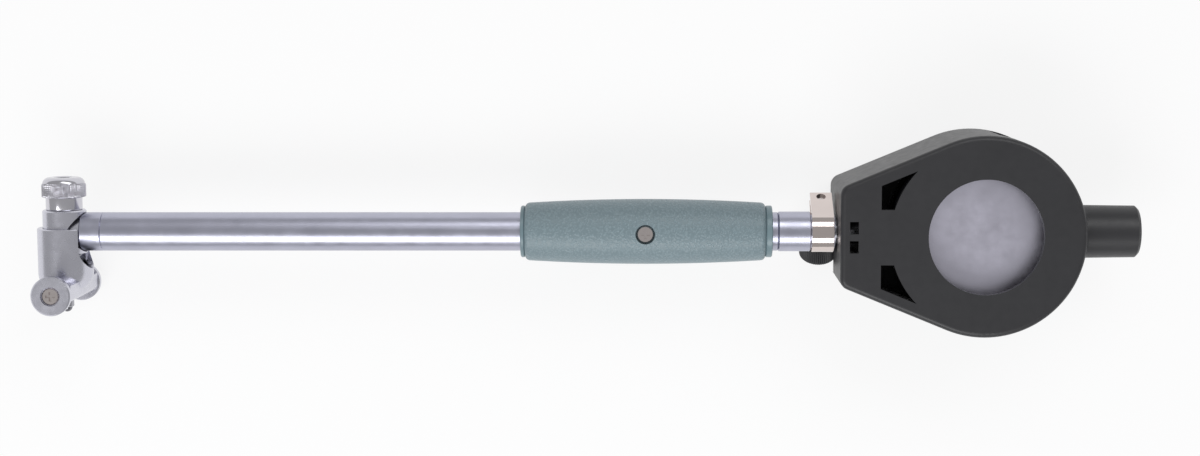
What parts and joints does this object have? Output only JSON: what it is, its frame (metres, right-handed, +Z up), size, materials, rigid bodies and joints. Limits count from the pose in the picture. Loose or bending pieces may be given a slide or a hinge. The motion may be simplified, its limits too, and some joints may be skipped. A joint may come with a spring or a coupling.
{
  "type": "dial bore gauge",
  "caption": "Bore gauge: two-point head with sprung centring bridge and rollers, tube, barrel grip, stem clamp and a dial indicator in a teardrop guard.",
  "frame": {"origin": "on the table plane under the tube axis, midway along the whole length", "axes": "+X along the tube from the measuring head to the dial, +Y the measuring direction towards the lock nut, +Z up; the dial faces down"},
  "size_m": [0.3568, 0.0644, 0.042],
  "materials": {
    "satin_steel": "satin lavender-grey plated steel",
    "satin_aluminium": "satin anodised aluminium",
    "bright_chrome": "polished chrome",
    "strap_nickel": "bright nickel",
    "screw_steel": "bright zinc-plated steel",
    "spring_steel": "oiled spring wire",
    "hard_steel": "ground hardened steel",
    "carbide": "polished carbide",
    "brass_gear": "turned brass",
    "grip_plastic": "pebbled blue-grey plastic",
    "black_plastic": "matte black moulded plastic",
    "cover_aluminium": "satin pale lavender-grey",
    "black_steel": "black oxide",
    "dial_paint": "printed white enamel",
    "hand_paint": "black enamel",
    "crystal_clear": "clear crystal"
  },
  "bodies": {
    "gauge": {"head_body": "satin_steel", "neck_ring": "satin_aluminium", "contact_bush": "brass_gear", "bell_crank_pin": "hard_steel", "bridge_spring": "spring_steel", "tube": "satin_aluminium", "rod_guide_front": "brass_gear", "rod_guide_rear": "brass_gear", "rod_spring": "spring_steel", "grip": "grip_plastic", "grip_ring_front": "grip_plastic", "grip_ring_rear": "grip_plastic", "grip_screw": "screw_steel", "end_sleeve": "satin_aluminium", "stem_clamp": "strap_nickel", "guard_housing": "black_plastic", "guard_back_cover": "black_plastic", "guard_screw_upper": "black_steel", "guard_screw_lower": "black_steel", "indicator_stem": "hard_steel", "indicator_case": "cover_aluminium", "indicator_back": "cover_aluminium", "spindle_bush": "brass_gear", "movement_plate": "brass_gear", "dial_centre": "dial_paint"},
    "plunger": {"contact_plunger": "hard_steel", "contact_ball": "carbide"},
    "lever": {"bell_crank": "hard_steel"},
    "rod": {"push_rod": "hard_steel", "rod_collar": "brass_gear"},
    "spindle": {"spindle": "hard_steel", "spindle_tip": "carbide", "spindle_cap": "bright_chrome"},
    "drive": {"drive_arbor": "hard_steel", "drive_gear": "brass_gear", "counter_pointer": "hand_paint"},
    "centre": {"centre_arbor": "hard_steel", "pointer": "hand_paint"},
    "bridge": {"bridge": "satin_steel", "bridge_guide_screw": "screw_steel", "roller_screw_front": "screw_steel", "roller_screw_back": "screw_steel"},
    "roller_front": {"roller_front": "satin_steel"},
    "roller_back": {"roller_back": "satin_steel"},
    "lock_nut": {"anvil_nut": "bright_chrome"},
    "clamp_thumb_screw": {"clamp_screw": "screw_steel", "clamp_knob": "black_plastic"},
    "bezel": {"bezel": "satin_aluminium", "crystal": "crystal_clear", "dial_ring": "dial_paint"}
  },
  "joints": [
    {"name": "contact_slide", "type": "slide", "parent": "gauge", "child": "plunger", "axis": [0, 1, 0], "range_m": [0, 0.0016], "stiffness_N_per_m": 500, "springref_m": -0.005},
    {"name": "lever_turn", "type": "hinge", "parent": "gauge", "child": "lever", "pos_m": [-0.16542, -0.0042, 0.02254], "axis": [0, 0, 1], "range_deg": [-22, 0]},
    {"name": "rod_slide", "type": "slide", "parent": "gauge", "child": "rod", "axis": [1, 0, 0], "range_m": [0, 0.0016], "deforming": ["rod_spring"]},
    {"name": "spindle_slide", "type": "slide", "parent": "gauge", "child": "spindle", "axis": [1, 0, 0], "range_m": [0, 0.0016]},
    {"name": "drive_turn", "type": "hinge", "parent": "gauge", "child": "drive", "pos_m": [0.11629, -0.00299, 0.01754], "axis": [0, 0, 1], "range_deg": [-58, 0]},
    {"name": "pointer_turn", "type": "hinge", "parent": "gauge", "child": "centre", "pos_m": [0.12687, 0, 0.01254], "axis": [0, 0, 1], "range_deg": [0, 577]},
    {"name": "bridge_slide", "type": "slide", "parent": "gauge", "child": "bridge", "axis": [0, 1, 0], "range_m": [0, 0.005], "stiffness_N_per_m": 400, "springref_m": -0.006, "deforming": ["bridge_spring"]},
    {"name": "roller_front_turn", "type": "hinge", "parent": "bridge", "child": "roller_front", "pos_m": [-0.16962, -0.0187, 0.04054], "axis": [0, 0, 1], "continuous": true},
    {"name": "roller_back_turn", "type": "hinge", "parent": "bridge", "child": "roller_back", "pos_m": [-0.16962, -0.0187, 0.00454], "axis": [0, 0, 1], "continuous": true},
    {"name": "lock_nut_turn", "type": "hinge", "parent": "gauge", "child": "lock_nut", "pos_m": [-0.16962, 0.012, 0.02254], "axis": [0, 1, 0], "range_deg": [0, 360]},
    {"name": "clamp_screw_turn", "type": "hinge", "parent": "gauge", "child": "clamp_thumb_screw", "pos_m": [0.07623, 0.00519, 0.01423], "axis": [0, 0.848, 0.5299], "range_deg": [-360, 0]},
    {"name": "bezel_turn", "type": "hinge", "parent": "gauge", "child": "bezel", "pos_m": [0.12687, 0, 0.01054], "axis": [0, 0, 1], "continuous": true}
  ],
  "couplings": [
    {"joint": "lever_turn", "follows": "contact_slide", "rad_per_m": -238.1},
    {"joint": "rod_slide", "follows": "contact_slide", "ratio": 1},
    {"joint": "spindle_slide", "follows": "contact_slide", "ratio": 1},
    {"joint": "drive_turn", "follows": "contact_slide", "rad_per_m": -628.34},
    {"joint": "pointer_turn", "follows": "contact_slide", "rad_per_m": 6283.4}
  ]
}
